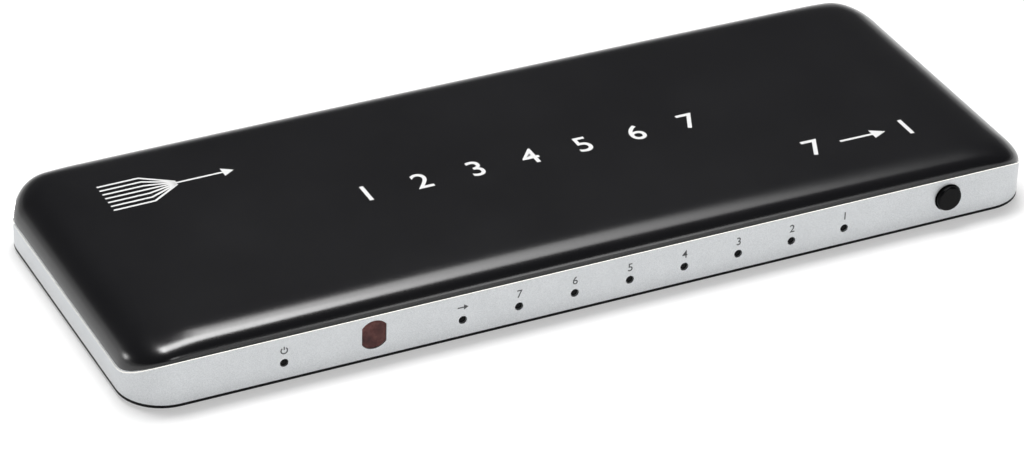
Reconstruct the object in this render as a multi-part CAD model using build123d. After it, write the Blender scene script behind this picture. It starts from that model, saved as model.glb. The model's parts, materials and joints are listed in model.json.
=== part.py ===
from build123d import *
import os
from math import sqrt

# Video switch box: a slim case with a domed cover, a band all round and a base.
# Origin: centre of the footprint on the surface that it stands on.
# +X to the right seen from the front, front at -Y, rear with the sockets at +Y, +Z up.
# All lengths are in millimetres.

# Case
case_length = 224.0
case_depth = 83.0
corner_radius = 10.7
foot_height = 1.0
base_edge = 0.7
rim_above_sockets = 1.4
rim_drop = 4.8
band_wall = 1.6
rim_chamfer = 0.25
seam_gap = 0.12
fit_gap = 0.1
overrun = 2.0
middle_share = 0.5
level_share = 0.999
steep_share = 0.5

# Top cover
cover_rise = 4.1
cover_thickness = 2.0
cover_edge_radius = 5.5
lip_wall = 1.0
lip_depth = 0.8
crown_drop = 0.45
end_drop = 2.6
end_run = 18.0
post_radius = 3.25
post_from_end = 9.0
post_from_side = 20.0

# Base cover
base_floor = 1.2
base_rim_wall = 1.0
base_rim_height = 1.5
standoff_height = 1.0
standoff_radius = 2.75
boss_height = 3.8
vent_slot_length = 22.0
vent_slot_width = 2.0
vent_slot_pitch = 5.0
vent_slot_count = 7
vent_group_offset = 62.0

# Screws
case_screw_radius = 1.45
case_screw_length = 8.0
case_screw_head_radius = 2.6
case_screw_head_height = 1.6
case_head_recess = 0.9
board_screw_radius = 1.2
board_screw_length = 3.2
board_screw_head_radius = 2.2
board_screw_head_height = 1.5
drive_width = 1.4
drive_blade = 0.45
drive_depth = 0.8
screw_gap = 0.05
board_hole_gap = 0.1
shank_clearance = 0.25

# Rubber feet
foot_radius = 5.0
foot_recess = 0.4
foot_from_end = 30.0
foot_from_side = 12.0
foot_edge_radius = 0.35

# Main board
board_thickness = 1.6
board_gap = 0.7
board_corner_radius = 6.0
board_post_gap = 0.75
board_screw_from_end = 24.0
board_screw_from_side = 22.0

# Indicators
indicator_rise = 0.9
indicator_hole_radius = 1.0
indicator_lens_radius = 0.85
indicator_lens_recess = 0.45
first_input_from_end = 51.05
output_indicator_from_end = 77.05
power_indicator_from_end = 34.6
lamp_width = 3.0
lamp_depth = 1.5
lamp_height = 1.2
lamp_gap = 0.1

# Infrared window and receiver
window_from_end = 55.8
control_rise = 0.4
window_width = 5.6
window_tall = 7.0
window_recess = 0.2
window_flange = 0.35
window_flange_thickness = 0.8
receiver_width = 6.0
receiver_depth = 4.0
receiver_tall = 6.8
receiver_lens_radius = 2.4
receiver_lens_reach = 1.2
receiver_gap = 0.3

# Select button
button_from_end = 23.8
button_hole_radius = 3.4
button_radius = 3.1
button_proud = 1.2
button_dome = 0.5
button_flange_radius = 3.75
button_flange_thickness = 0.8
button_flange_gap = 0.15
button_stem_radius = 1.7
button_stem_length = 1.6
button_travel = 0.5
plunger_radius = 1.1
plunger_engage = 1.1
switch_width = 4.8
switch_tall = 4.6
switch_depth = 3.3
switch_plate = 0.25
switch_bore_gap = 0.3
switch_cavity_radius = 1.8
switch_cavity_depth = 1.3
plunger_collar_radius = 1.5
plunger_collar = 0.5
dome_thickness = 0.12
dome_rise = 0.45
switch_leg = 0.6

# Video sockets
socket_count = 8
first_socket_from_end = 29.8
last_socket_from_end = 26.2
socket_seat_gap = 0.35
mouth_width = 14.0
mouth_height = 4.6
mouth_chamfer_x = 2.2
mouth_chamfer_z = 1.7
shell_wall = 0.35
shell_depth = 11.6
shell_proud = 0.2
lip_flare = 0.3
lip_length = 0.9
lip_band = 0.45
socket_cutout_gap = 0.3
core_depth = 4.8
core_gap = 0.05
tongue_width = 11.6
tongue_thickness = 1.1
tongue_recess = 1.4
contact_pitch = 1.0
contact_width = 0.4
contact_thickness = 0.15
contact_setback = 0.6
top_contacts = 10
bottom_contacts = 9
shell_leg_width = 1.0
shell_leg_length = 2.0
shell_leg_from_mouth = 4.0
spring_tab_width = 1.6
spring_tab_length = 4.0
spring_tab_drop = 0.3
spring_tab_x = 3.6
spring_tab_setback = 2.2

# Power inlet
inlet_from_end = 12.5
inlet_rise = 2.95
inlet_hole_radius = 2.7
inlet_collar_radius = 2.5
inlet_collar_recess = 0.25
inlet_bore_radius = 1.85
inlet_bore_depth = 9.5
inlet_body_width = 6.4
inlet_body_depth = 11.0
inlet_face_gap = 0.25
inlet_body_tall = 6.2
inlet_pin_radius = 0.55
inlet_pin_recess = 1.2
inlet_pin_tip_radius = 0.275
inlet_pin_root = 2.0
inlet_spring_width = 1.6
inlet_spring_thickness = 0.3
inlet_spring_length = 6.0
inlet_spring_setback = 2.0

# Parts on the board
chip_width = 14.0
chip_height = 1.4
chip_from_middle = 4.0
chip_row_gap = 7.0
pad_thickness = 0.5
sink_base = 1.2
sink_cover_gap = 2.5
fin_count = 6
fin_width = 1.0
driver_width = 9.0
driver_height = 0.9
driver_from_end = 38.0
driver_array_gap = 11.6
controller_width = 7.0
controller_height = 1.4
controller_from_end = 60.0
controller_from_front = 26.0
crystal_length = 11.0
crystal_width = 4.6
crystal_height = 3.4
crystal_corner_gap = 0.05
crystal_from_controller = 20.0
crystal_from_front = 25.0
regulator_width = 6.6
regulator_depth = 3.6
regulator_height = 1.7
regulator_from_inlet = 20.5
regulator_from_rear = 32.0
inductor_width = 6.0
inductor_height = 3.0
inductor_corner = 1.0
inductor_from_inlet = 10.5
inductor_from_rear = 31.0
round_capacitor_radius = 2.5
round_capacitor_height = 5.4
round_capacitor_base = 1.0
round_capacitor_count = 2
round_capacitor_pitch = 8.0
round_capacitor_from_inlet = 29.5
round_capacitor_from_rear = 31.0
small_length = 1.6
small_width = 0.8
small_height = 0.8
small_pitch = 3.2
small_row_count = 9
small_row_gap = 5.6
resistor_height = 0.5
resistor_row_from_front = 14.0
array_length = 2.6
array_width = 1.2
array_height = 0.6
array_setback = 5.0
header_pitch = 2.54
header_pins = 4
header_height = 2.5
header_pin_width = 0.64
header_pin_rise = 3.0
header_from_end = 78.0
header_from_front = 20.0

# Outlines worked out from the sizes above
half_length = case_length / 2
half_depth = case_depth / 2
inner_front = half_depth - band_wall
inner_inset = band_wall + fit_gap
board_inset = inner_inset + lip_wall + board_gap
rear_y = half_depth
front_y = -half_depth
mouth_y = rear_y + shell_proud
case_shift = (button_proud - shell_proud) / 2
# The front and rear faces are flush with the cover where its rounded edge meets the rim.
edge_below_rim = cover_edge_radius - cover_rise + seam_gap
cover_overhang = cover_edge_radius - sqrt(cover_edge_radius ** 2 - edge_below_rim ** 2)

# Heights, stacked from the feet up through the board and the sockets to the cover
base_bottom = foot_height
band_bottom = base_bottom + base_edge
floor_top = base_bottom + base_floor
board_bottom = floor_top + standoff_height
board_top = board_bottom + board_thickness
boss_top = floor_top + boss_height
cutout_grow = shell_wall + lip_flare / 2 + socket_cutout_gap
socket_z = board_top + socket_seat_gap + shell_wall + mouth_height / 2
rim_front = socket_z + mouth_height / 2 + cutout_grow + rim_above_sockets
rim_end = rim_front - rim_drop
total_height = rim_front + cover_rise
shoulder_height = total_height - crown_drop
arch_end_height = shoulder_height - end_drop
control_z = (band_bottom + rim_front) / 2 + control_rise
indicator_z = board_top + indicator_rise
inlet_z = board_top + inlet_rise
screw_head_low = base_bottom + case_head_recess
screw_head_top = screw_head_low + case_screw_head_height

# Places along the case
post_x = half_length - post_from_end
post_y = half_depth - post_from_side
board_screw_x = half_length - board_screw_from_end
board_screw_y = half_depth - board_screw_from_side
foot_x = half_length - foot_from_end
foot_y = half_depth - foot_from_side
inlet_x = half_length - inlet_from_end
button_x = half_length - button_from_end
window_x = -half_length + window_from_end
first_socket_x = half_length - first_socket_from_end
socket_pitch = (case_length - first_socket_from_end - last_socket_from_end) / (socket_count - 1)
socket_xs = [first_socket_x - i * socket_pitch for i in range(socket_count)]
first_input_x = half_length - first_input_from_end
indicator_pitch = (case_length - first_input_from_end - output_indicator_from_end) / (socket_count - 1)
indicator_xs = [first_input_x - i * indicator_pitch for i in range(socket_count)]
indicator_xs.append(-half_length + power_indicator_from_end)

# Places of the parts on the board
array_y = mouth_y - shell_depth - array_setback
small_row_y = array_y - small_row_gap
resistor_row_y = front_y + resistor_row_from_front
chip_x = chip_from_middle
chip_y = small_row_y - chip_row_gap - chip_width / 2
driver_x = -half_length + driver_from_end
driver_y = array_y - driver_array_gap
controller_x = half_length - controller_from_end
controller_y = front_y + controller_from_front
crystal_x = controller_x - crystal_from_controller
crystal_y = front_y + crystal_from_front
regulator_x = inlet_x - regulator_from_inlet
regulator_y = rear_y - regulator_from_rear
inductor_x = inlet_x - inductor_from_inlet
inductor_y = rear_y - inductor_from_rear
header_x = -half_length + header_from_end
header_y = front_y + header_from_front

os.makedirs("parts", exist_ok=True)


def save(name, shape):
    """Write one named piece, shifted so that the button and the sockets balance about the origin."""
    solids = [Pos(0, case_shift, 0) * s for s in shape.solids()]
    export_step(solids[0] if len(solids) == 1 else Compound(children=solids), f"parts/{name}.step")


def slab(length, depth, radius, low, high):
    """An upright block with round corners in plan, centred, from one height to another."""
    return Pos(0, 0, low) * extrude(RectangleRounded(length, depth, radius), high - low)


def block(x0, x1, y0, y1, z0, z1):
    """A plain block between three pairs of places."""
    centre = Pos((x0 + x1) / 2, (y0 + y1) / 2, (z0 + z1) / 2)
    return centre * Box(abs(x1 - x0), abs(y1 - y0), abs(z1 - z0))


def chip(x, y, width, depth, low, height):
    """A block that sits on a surface, by its centre in plan."""
    return block(x - width / 2, x + width / 2, y - depth / 2, y + depth / 2, low, low + height)


def upright(x, y, radius, low, high):
    """A round post from one height to another."""
    return Pos(x, y, (low + high) / 2) * Cylinder(radius, high - low)


def level(x, z, radius, y0, y1):
    """A round bar that lies along Y."""
    return Pos(x, (y0 + y1) / 2, z) * Rot(90, 0, 0) * Cylinder(radius, abs(y1 - y0))


def four(x, y):
    """The four places at plus and minus x and y."""
    return [(x, y), (-x, y), (-x, -y), (x, -y)]


# The rim between the band and the cover: level along the front and the rear,
# and falling in an arc through each round corner to the lower ends.
def above_rim(rise):
    """Everything above the rim line, moved up by rise."""
    high = total_height + overrun
    far = half_length + cover_overhang + overrun
    straight = half_length - corner_radius
    front_z = rim_front + rise
    end_z = rim_end + rise
    right = TangentArc((straight, front_z), (half_length, end_z), tangent=(1, 0))
    left = TangentArc((-straight, front_z), (-half_length, end_z), tangent=(-1, 0))
    outline = right + left + Line((-straight, front_z), (straight, front_z))
    outline += Polyline((half_length, end_z), (far, end_z), (far, high), (-far, high), (-far, end_z),
                        (-half_length, end_z))
    face = make_face(Plane.XZ * outline)
    return extrude(face, half_depth + cover_overhang + overrun, both=True)


def dome(inset, drop, low, edge_radius):
    """The cover's outer form, made smaller all round by inset and lower by drop."""
    length = case_length + 2 * cover_overhang - 2 * inset
    depth = case_depth + 2 * cover_overhang - 2 * inset
    shoulder_x = half_length - end_run
    end_x = half_length + cover_overhang
    top = total_height - drop
    shoulder = shoulder_height - drop
    end_z = arch_end_height - drop
    crown = ThreePointArc((-shoulder_x, shoulder), (0, top), (shoulder_x, shoulder))
    right = TangentArc((shoulder_x, shoulder), (end_x, end_z), tangent=crown % 1)
    left = TangentArc((-shoulder_x, shoulder), (-end_x, end_z), tangent=(crown % 0) * -1)
    sides = Polyline((end_x, end_z), (end_x, low), (-end_x, low), (-end_x, end_z))
    face = make_face(Plane.XZ * (crown + right + left + sides))
    arch = extrude(face, half_depth + overrun, both=True)
    body = slab(length, depth, corner_radius + cover_overhang - inset, low, total_height + overrun) & arch
    edges = []
    for edge in body.edges():
        middle = edge @ middle_share
        direction = edge.tangent_at(middle_share)
        seam = abs(direction.Y) > level_share and abs(abs(middle.X) - shoulder_x) < seam_gap
        upper = middle.Z > (low + end_z) / 2 and abs(direction.Z) < steep_share
        if upper and not seam:
            edges.append(edge)
    return fillet(edges, edge_radius)


# Top cover: a domed shell with a lip inside the band and four screw posts.
def top_cover():
    dome_low = rim_end - lip_depth - overrun
    outer = dome(0, 0, dome_low, cover_edge_radius)
    cavity_inset = cover_overhang + inner_inset + lip_wall
    cavity_radius = cover_edge_radius - lip_wall - band_wall
    cavity = dome(cavity_inset, cover_thickness, dome_low - overrun, cavity_radius)
    inner = slab(case_length - 2 * inner_inset, case_depth - 2 * inner_inset, corner_radius - inner_inset,
                 dome_low, total_height)
    skin = outer & above_rim(seam_gap)
    lip = outer & inner & above_rim(-lip_depth)
    cover = (skin + lip) - cavity
    for x, y in four(post_x, post_y):
        post = upright(x, y, post_radius, boss_top, total_height) & outer
        hole_top = screw_head_top + case_screw_length
        hole = upright(x, y, case_screw_radius + screw_gap, boss_top - overrun, hole_top)
        cover = cover + post - hole
    return cover


# Side band: one silver frame all round, with the cut-outs for the front and the rear.
def socket_profile(grow):
    """A socket's mouth: wide above, with cut lower corners, seen along Y."""
    w = mouth_width / 2 + grow
    top = mouth_height / 2 + grow
    # The slanting side stays parallel to the mouth's own when the outline grows.
    slant = sqrt(mouth_chamfer_x ** 2 + mouth_chamfer_z ** 2)
    cut_z = -mouth_height / 2 + mouth_chamfer_z - grow * (slant - mouth_chamfer_z) / mouth_chamfer_x
    cut_x = mouth_width / 2 - mouth_chamfer_x + grow * (slant - mouth_chamfer_x) / mouth_chamfer_z
    points = [(-w, top), (w, top), (w, cut_z), (cut_x, -top), (-cut_x, -top), (-w, cut_z)]
    return Polyline(*points, close=True)


def socket_prism(x, grow, y0, y1):
    """The mouth's outline, grown, as a solid between two depths."""
    face = make_face(Plane.XZ * socket_profile(grow))
    solid = extrude(face, y0 - y1, dir=(0, -1, 0))
    return Pos(x, y0, socket_z) * solid


def window_prism(grow, y0, y1):
    """The infrared window's outline, round above and below with flat sides, between two depths."""
    round_bar = level(window_x, control_z, window_tall / 2 + grow, y0, y1)
    half = window_width / 2 + grow
    flats = block(window_x - half, window_x + half, y0, y1, control_z - window_tall, control_z + window_tall)
    return round_bar & flats


def side_band():
    outer = slab(case_length, case_depth, corner_radius, band_bottom, total_height)
    outer = outer - above_rim(0)
    rim_edges = []
    for edge in outer.edges():
        middle = edge @ middle_share
        across = abs(edge.tangent_at(middle_share).Y) > level_share
        inside = across and abs(middle.X) < half_length - rim_chamfer
        if edge.length > rim_chamfer and middle.Z > rim_end - rim_chamfer and not inside:
            rim_edges.append(edge)
    outer = chamfer(rim_edges, rim_chamfer)
    hollow = slab(case_length - 2 * band_wall, case_depth - 2 * band_wall,
                  corner_radius - band_wall, band_bottom - overrun, total_height + overrun)
    band = outer - hollow
    front_out = -half_depth - overrun
    front_in = -inner_front + overrun
    for x in socket_xs:
        band = band - socket_prism(x, cutout_grow, half_depth + overrun, inner_front - overrun)
    band = band - level(inlet_x, inlet_z, inlet_hole_radius, half_depth + overrun, inner_front - overrun)
    band = band - window_prism(fit_gap, front_out, front_in)
    band = band - level(button_x, control_z, button_hole_radius, front_out, front_in)
    for x in indicator_xs:
        band = band - level(x, indicator_z, indicator_hole_radius, front_out, front_in)
    return band


# Base cover: a thin tray with an edge under the band, a locating rim, bosses and vents.
def base_cover():
    tray = slab(case_length, case_depth, corner_radius, base_bottom, band_bottom)
    tray = tray + slab(case_length - 2 * inner_inset, case_depth - 2 * inner_inset,
                       corner_radius - inner_inset, base_bottom, floor_top)
    rim = slab(case_length - 2 * inner_inset, case_depth - 2 * inner_inset, corner_radius - inner_inset,
               base_bottom, band_bottom + base_rim_height)
    rim_inset = inner_inset + base_rim_wall
    rim = rim - slab(case_length - 2 * rim_inset, case_depth - 2 * rim_inset, corner_radius - rim_inset,
                     base_bottom - overrun, total_height)
    # The rim is left out along the board's long edges, where the sockets and the lamps are.
    rim_x = half_length - corner_radius
    rim = rim - block(-rim_x, rim_x, front_y, rear_y, floor_top, total_height)
    base = tray + rim
    for x, y in four(post_x, post_y):
        base = base + upright(x, y, post_radius, base_bottom, boss_top)
        base = base - upright(x, y, case_screw_radius + shank_clearance, 0, boss_top + overrun)
        base = base - upright(x, y, case_screw_head_radius + shank_clearance, 0, screw_head_top)
    for x, y in four(board_screw_x, board_screw_y):
        base = base + upright(x, y, standoff_radius, base_bottom, board_bottom)
        hole_low = board_top - board_screw_length
        base = base - upright(x, y, board_screw_radius + screw_gap, hole_low, board_bottom + overrun)
    for x, y in four(foot_x, foot_y):
        base = base - upright(x, y, foot_radius + fit_gap, 0, base_bottom + foot_recess)
    slot = extrude(SlotOverall(vent_slot_length, vent_slot_width, rotation=90), board_bottom)
    for side in (-1, 1):
        for i in range(vent_slot_count):
            x = side * vent_group_offset / 2 + (i - (vent_slot_count - 1) / 2) * vent_slot_pitch
            base = base - Pos(x, 0, 0) * slot
    return base


def cross_drive(x, y, low, high):
    """The cross-shaped recess in a screw head."""
    return (chip(x, y, 2 * drive_width, drive_blade, low, high - low) +
            chip(x, y, drive_blade, 2 * drive_width, low, high - low))


def case_screws():
    tip = screw_head_top + case_screw_length - screw_gap
    screws = []
    for x, y in four(post_x, post_y):
        screw = upright(x, y, case_screw_head_radius, screw_head_low, screw_head_top)
        screw = screw + upright(x, y, case_screw_radius, screw_head_low, tip)
        screws.append(screw - cross_drive(x, y, screw_head_low - overrun, screw_head_low + drive_depth))
    return Compound(children=[s.solids()[0] for s in screws])


def board_screws():
    screws = []
    for x, y in four(board_screw_x, board_screw_y):
        head = upright(x, y, board_screw_head_radius, board_top, board_top + board_screw_head_height)
        shank = upright(x, y, board_screw_radius, board_top - board_screw_length + screw_gap, board_top)
        high = board_top + board_screw_head_height
        screws.append(head + shank - cross_drive(x, y, high - drive_depth, high + overrun))
    return Compound(children=[s.solids()[0] for s in screws])


def rubber_feet():
    feet = []
    for x, y in four(foot_x, foot_y):
        foot = upright(x, y, foot_radius, 0, foot_height + foot_recess)
        foot = fillet(foot.edges().group_by(Axis.Z)[0], foot_edge_radius)
        feet.append(foot)
    return Compound(children=[f.solids()[0] for f in feet])


def main_board():
    board = slab(case_length - 2 * board_inset, case_depth - 2 * board_inset, board_corner_radius,
                 board_bottom, board_top)
    low = board_bottom - overrun
    high = board_top + overrun
    reach = post_radius + board_post_gap
    for x, y in four(post_x, post_y):
        end_x = half_length if x > 0 else -half_length
        board = board - upright(x, y, reach, low, high) - block(x, end_x, y - reach, y + reach, low, high)
    for x, y in four(board_screw_x, board_screw_y):
        board = board - upright(x, y, board_screw_radius + board_hole_gap, low, high)
    return board


# Sockets: a folded metal shell with a flared mouth, an insulating core and its contacts.
def socket_shell(x):
    mouth = mouth_y
    rear = mouth_y - shell_depth
    lip_outer = shell_wall + lip_flare / 2
    tube = socket_prism(x, shell_wall, mouth, rear)
    tube = tube + socket_prism(x, lip_outer, mouth, mouth - lip_band)
    tube = tube - socket_prism(x, 0, mouth + overrun, rear + shell_wall)
    front = make_face(Plane.XZ * socket_profile(lip_flare))
    back = make_face(Plane.XZ * socket_profile(0))
    flare = loft([Pos(x, mouth, socket_z) * front, Pos(x, mouth - lip_length, socket_z) * back])
    tube = tube - flare
    shell_bottom = socket_z - mouth_height / 2 - shell_wall
    cut_x = mouth_width / 2 - mouth_chamfer_x
    for side in (-1, 1):
        leg_x = x + side * (cut_x - shell_leg_width / 2)
        leg_y = mouth - shell_leg_from_mouth
        tube = tube + block(leg_x - shell_leg_width / 2, leg_x + shell_leg_width / 2,
                            leg_y - shell_leg_length, leg_y, board_top, shell_bottom)
    for side in (-1, 1):
        tab_x = x + side * spring_tab_x
        near = mouth - spring_tab_setback
        floor_z = socket_z - mouth_height / 2
        roof_z = socket_z + mouth_height / 2
        for z0, z1 in ((floor_z, floor_z + spring_tab_drop), (roof_z - spring_tab_drop, roof_z)):
            tube = tube + block(tab_x - spring_tab_width / 2, tab_x + spring_tab_width / 2,
                                near - spring_tab_length, near, z0, z1)
    return tube


def socket_core(x):
    rear = mouth_y - shell_depth + shell_wall
    plug = socket_prism(x, -core_gap, rear + core_depth, rear + core_gap)
    tip = mouth_y - tongue_recess
    half = tongue_thickness / 2
    tongue = block(x - tongue_width / 2, x + tongue_width / 2, rear + core_depth / 2, tip,
                   socket_z - half, socket_z + half)
    return plug + tongue


def socket_contacts():
    bars = []
    start = mouth_y - tongue_recess - contact_setback
    end = mouth_y - shell_depth + shell_wall + core_depth
    half = tongue_thickness / 2
    for x in socket_xs:
        for count, low, high in ((top_contacts, half, half + contact_thickness),
                                 (bottom_contacts, -half - contact_thickness, -half)):
            for i in range(count):
                bar_x = x + (i - (count - 1) / 2) * contact_pitch
                bars.append(block(bar_x - contact_width / 2, bar_x + contact_width / 2, end, start,
                                  socket_z + low, socket_z + high))
    return Compound(children=bars)


# Power inlet: a moulded body whose round collar fills the hole in the band.
def inlet_spring_box(grow):
    top = inlet_z - inlet_bore_radius + inlet_spring_thickness
    low = inlet_z - inlet_bore_radius - inlet_spring_thickness
    near = inner_front - inlet_spring_setback
    return block(inlet_x - inlet_spring_width / 2 - grow, inlet_x + inlet_spring_width / 2 + grow,
                 near - inlet_spring_length - grow, near + grow, low - grow, top + grow)


def inlet_body():
    face_y = inner_front - inlet_face_gap
    body = block(inlet_x - inlet_body_width / 2, inlet_x + inlet_body_width / 2,
                 face_y - inlet_body_depth, face_y, board_top, board_top + inlet_body_tall)
    collar_end = half_depth - inlet_collar_recess
    body = body + level(inlet_x, inlet_z, inlet_collar_radius, face_y - overrun, collar_end)
    bore_end = collar_end - inlet_bore_depth
    body = body - level(inlet_x, inlet_z, inlet_bore_radius, bore_end, collar_end + overrun)
    body = body - level(inlet_x, inlet_z, inlet_pin_radius + screw_gap, bore_end - inlet_pin_root, bore_end)
    return body - inlet_spring_box(screw_gap)


def inlet_pin():
    collar_end = half_depth - inlet_collar_recess
    pin_end = collar_end - inlet_pin_recess
    root = collar_end - inlet_bore_depth - inlet_pin_root + screw_gap
    pin = level(inlet_x, inlet_z, inlet_pin_radius, root, pin_end)
    tip = pin.edges().filter_by(GeomType.CIRCLE).group_by(Axis.Y)[-1]
    return fillet(tip, inlet_pin_tip_radius)


# Infrared window and the receiver behind it.
def infrared_window():
    face_y = -half_depth + window_recess
    plug = window_prism(0, face_y, -inner_front)
    flange = window_prism(window_flange, -inner_front, -inner_front + window_flange_thickness)
    return plug + flange


def infrared_receiver():
    front = -inner_front + window_flange_thickness + receiver_gap + receiver_lens_reach
    middle = front + receiver_depth / 2
    body = chip(window_x, middle, receiver_width, receiver_depth, board_top, receiver_tall)
    lens_y = front - receiver_lens_reach + receiver_lens_radius
    lens = Pos(window_x, lens_y, control_z) * Sphere(receiver_lens_radius)
    left = window_x - receiver_width
    right = window_x + receiver_width
    lens = lens & block(left, right, front - receiver_depth, middle, board_top, total_height)
    return body + lens


# Select button: cap and plunger move together against the push switch.
def button_cap():
    outer_y = -half_depth - button_proud
    flange_y = -inner_front + button_flange_gap
    cap = level(button_x, control_z, button_radius, outer_y, flange_y)
    rim = cap.edges().filter_by(GeomType.CIRCLE).group_by(Axis.Y)[0]
    cap = fillet(rim, button_dome)
    flange_end = flange_y + button_flange_thickness
    cap = cap + level(button_x, control_z, button_flange_radius, flange_y, flange_end)
    stem_end = flange_end + button_stem_length
    cap = cap + level(button_x, control_z, button_stem_radius, flange_end, stem_end)
    return cap - level(button_x, control_z, plunger_radius, stem_end - plunger_engage, stem_end + overrun)


stem_end_y = -inner_front + button_flange_gap + button_flange_thickness + button_stem_length
switch_front = stem_end_y + button_travel + switch_bore_gap
cavity_front = switch_front + switch_plate + fit_gap


def switch_plunger():
    start = stem_end_y - plunger_engage
    collar_start = cavity_front + switch_bore_gap
    plunger = level(button_x, control_z, plunger_radius, start, collar_start)
    return plunger + level(button_x, control_z, plunger_collar_radius, collar_start,
                           collar_start + plunger_collar)


def switch_body():
    front = switch_front + switch_plate
    body = block(button_x - switch_width / 2, button_x + switch_width / 2, front, front + switch_depth,
                 control_z - switch_tall / 2, control_z + switch_tall / 2)
    cavity_end = cavity_front + switch_bore_gap + plunger_collar + button_travel + switch_cavity_depth
    body = body - level(button_x, control_z, switch_cavity_radius, front - overrun, cavity_end)
    return body


def switch_cover_plate():
    front = switch_front
    plate = block(button_x - switch_width / 2, button_x + switch_width / 2, front, front + switch_plate,
                  control_z - switch_tall / 2, control_z + switch_tall / 2)
    hole = level(button_x, control_z, plunger_radius + switch_bore_gap, front - overrun, front + overrun)
    plate = plate - hole
    for side in (-1, 1):
        inner = button_x + side * switch_width / 2
        outer = inner + side * switch_plate
        plate = plate + block(inner, outer, front, front + switch_plate + switch_depth,
                              board_top, control_z + switch_tall / 2)
        foot_end = outer + side * switch_leg
        plate = plate + block(inner, foot_end, front + switch_plate, front + switch_plate + switch_depth,
                              board_top, board_top + switch_plate)
    return plate


def switch_dome():
    """The snap dome at the bottom of the switch's cavity, bulging towards the plunger."""
    bottom = cavity_front + switch_bore_gap + plunger_collar + button_travel + switch_cavity_depth
    reach = switch_cavity_radius - fit_gap
    ball = (reach ** 2 + dome_rise ** 2) / (2 * dome_rise)
    centre = bottom - dome_rise + ball
    outer = Pos(button_x, centre, control_z) * Sphere(ball)
    inner = Pos(button_x, centre, control_z) * Sphere(ball - dome_thickness)
    keep = level(button_x, control_z, reach, bottom - dome_rise - overrun, bottom)
    return (outer - inner) & keep


# Indicators: a short lens deep in each hole, and the lamp that shines into it.
def indicator_lenses():
    face_y = -half_depth + indicator_lens_recess
    lens_end = -half_depth + board_inset - lamp_gap
    bars = [level(x, indicator_z, indicator_lens_radius, face_y, lens_end) for x in indicator_xs]
    return Compound(children=[b.solids()[0] for b in bars])


def indicator_lamps():
    front = -half_depth + board_inset
    lamps = []
    for x in indicator_xs:
        lamps.append(block(x - lamp_width / 2, x + lamp_width / 2, front, front + lamp_depth,
                           board_top, board_top + lamp_height))
    return Compound(children=lamps)


# Parts on the board.
def heat_sink():
    low = board_top + chip_height + pad_thickness
    sink_height = total_height - cover_thickness - sink_cover_gap - low
    sink = chip(chip_x, chip_y, chip_width, chip_width, low, sink_base)
    step = (chip_width - fin_width) / (fin_count - 1)
    for i in range(fin_count):
        x = chip_x - chip_width / 2 + fin_width / 2 + i * step
        sink = sink + chip(x, chip_y, fin_width, chip_width, low, sink_height)
    return sink


def crystal():
    can = chip(crystal_x, crystal_y, crystal_length, crystal_width, board_top, crystal_height)
    corners = can.edges().filter_by(Axis.Z)
    return fillet(corners, crystal_width / 2 - crystal_corner_gap)


def power_inductor():
    body = chip(inductor_x, inductor_y, inductor_width, inductor_width, board_top, inductor_height)
    return chamfer(body.edges().filter_by(Axis.Z), inductor_corner)


def round_capacitors():
    cans = []
    y = rear_y - round_capacitor_from_rear
    for i in range(round_capacitor_count):
        x = inlet_x - round_capacitor_from_inlet - i * round_capacitor_pitch
        across = 2 * round_capacitor_radius
        base = chip(x, y, across, across, board_top, round_capacitor_base)
        can = upright(x, y, round_capacitor_radius, board_top, board_top + round_capacitor_height)
        cans.append((base + can).solids()[0])
    return Compound(children=cans)


def small_row(y, height):
    """A row of small parts on the board, centred in length."""
    row = []
    for i in range(small_row_count):
        x = (i - (small_row_count - 1) / 2) * small_pitch
        row.append(chip(x, y, small_width, small_length, board_top, height))
    return Compound(children=row)


def protection_arrays():
    return Compound(children=[chip(x, array_y, array_length, array_width, board_top, array_height)
                              for x in socket_xs])


def service_header():
    length = header_pins * header_pitch
    header = chip(header_x, header_y, length, header_pitch, board_top, header_height)
    for i in range(header_pins):
        x = header_x + (i - (header_pins - 1) / 2) * header_pitch
        header = header + chip(x, header_y, header_pin_width, header_pin_width, board_top,
                               header_height + header_pin_rise)
    return header


save("top_cover", top_cover())
save("side_band", side_band())
save("base_cover", base_cover())
save("rubber_feet", rubber_feet())
save("case_screws", case_screws())
save("board_screws", board_screws())
save("main_board", main_board())
for number, x in enumerate(socket_xs, 1):
    name = f"input_{number}" if number < socket_count else "output"
    save(f"socket_shell_{name}", socket_shell(x))
    save(f"socket_core_{name}", socket_core(x))
save("socket_contacts", socket_contacts())
save("inlet_body", inlet_body())
save("inlet_pin", inlet_pin())
save("inlet_spring", inlet_spring_box(0))
save("infrared_window", infrared_window())
save("infrared_receiver", infrared_receiver())
save("select_button_cap", button_cap())
save("switch_plunger", switch_plunger())
save("switch_body", switch_body())
save("switch_cover_plate", switch_cover_plate())
save("switch_dome", switch_dome())
save("indicator_lenses", indicator_lenses())
save("indicator_lamps", indicator_lamps())
save("switching_chip", chip(chip_x, chip_y, chip_width, chip_width, board_top, chip_height))
save("thermal_pad", chip(chip_x, chip_y, chip_width, chip_width, board_top + chip_height, pad_thickness))
save("heat_sink", heat_sink())
save("driver_chip", chip(driver_x, driver_y, driver_width, driver_width, board_top, driver_height))
save("controller_chip", chip(controller_x, controller_y, controller_width, controller_width,
                             board_top, controller_height))
save("crystal", crystal())
save("voltage_regulator", chip(regulator_x, regulator_y, regulator_width, regulator_depth,
                               board_top, regulator_height))
save("power_inductor", power_inductor())
save("round_capacitors", round_capacitors())
save("small_capacitors", small_row(small_row_y, small_height))
save("resistors", small_row(resistor_row_y, resistor_height))
save("protection_arrays", protection_arrays())
save("service_header", service_header())
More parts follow.
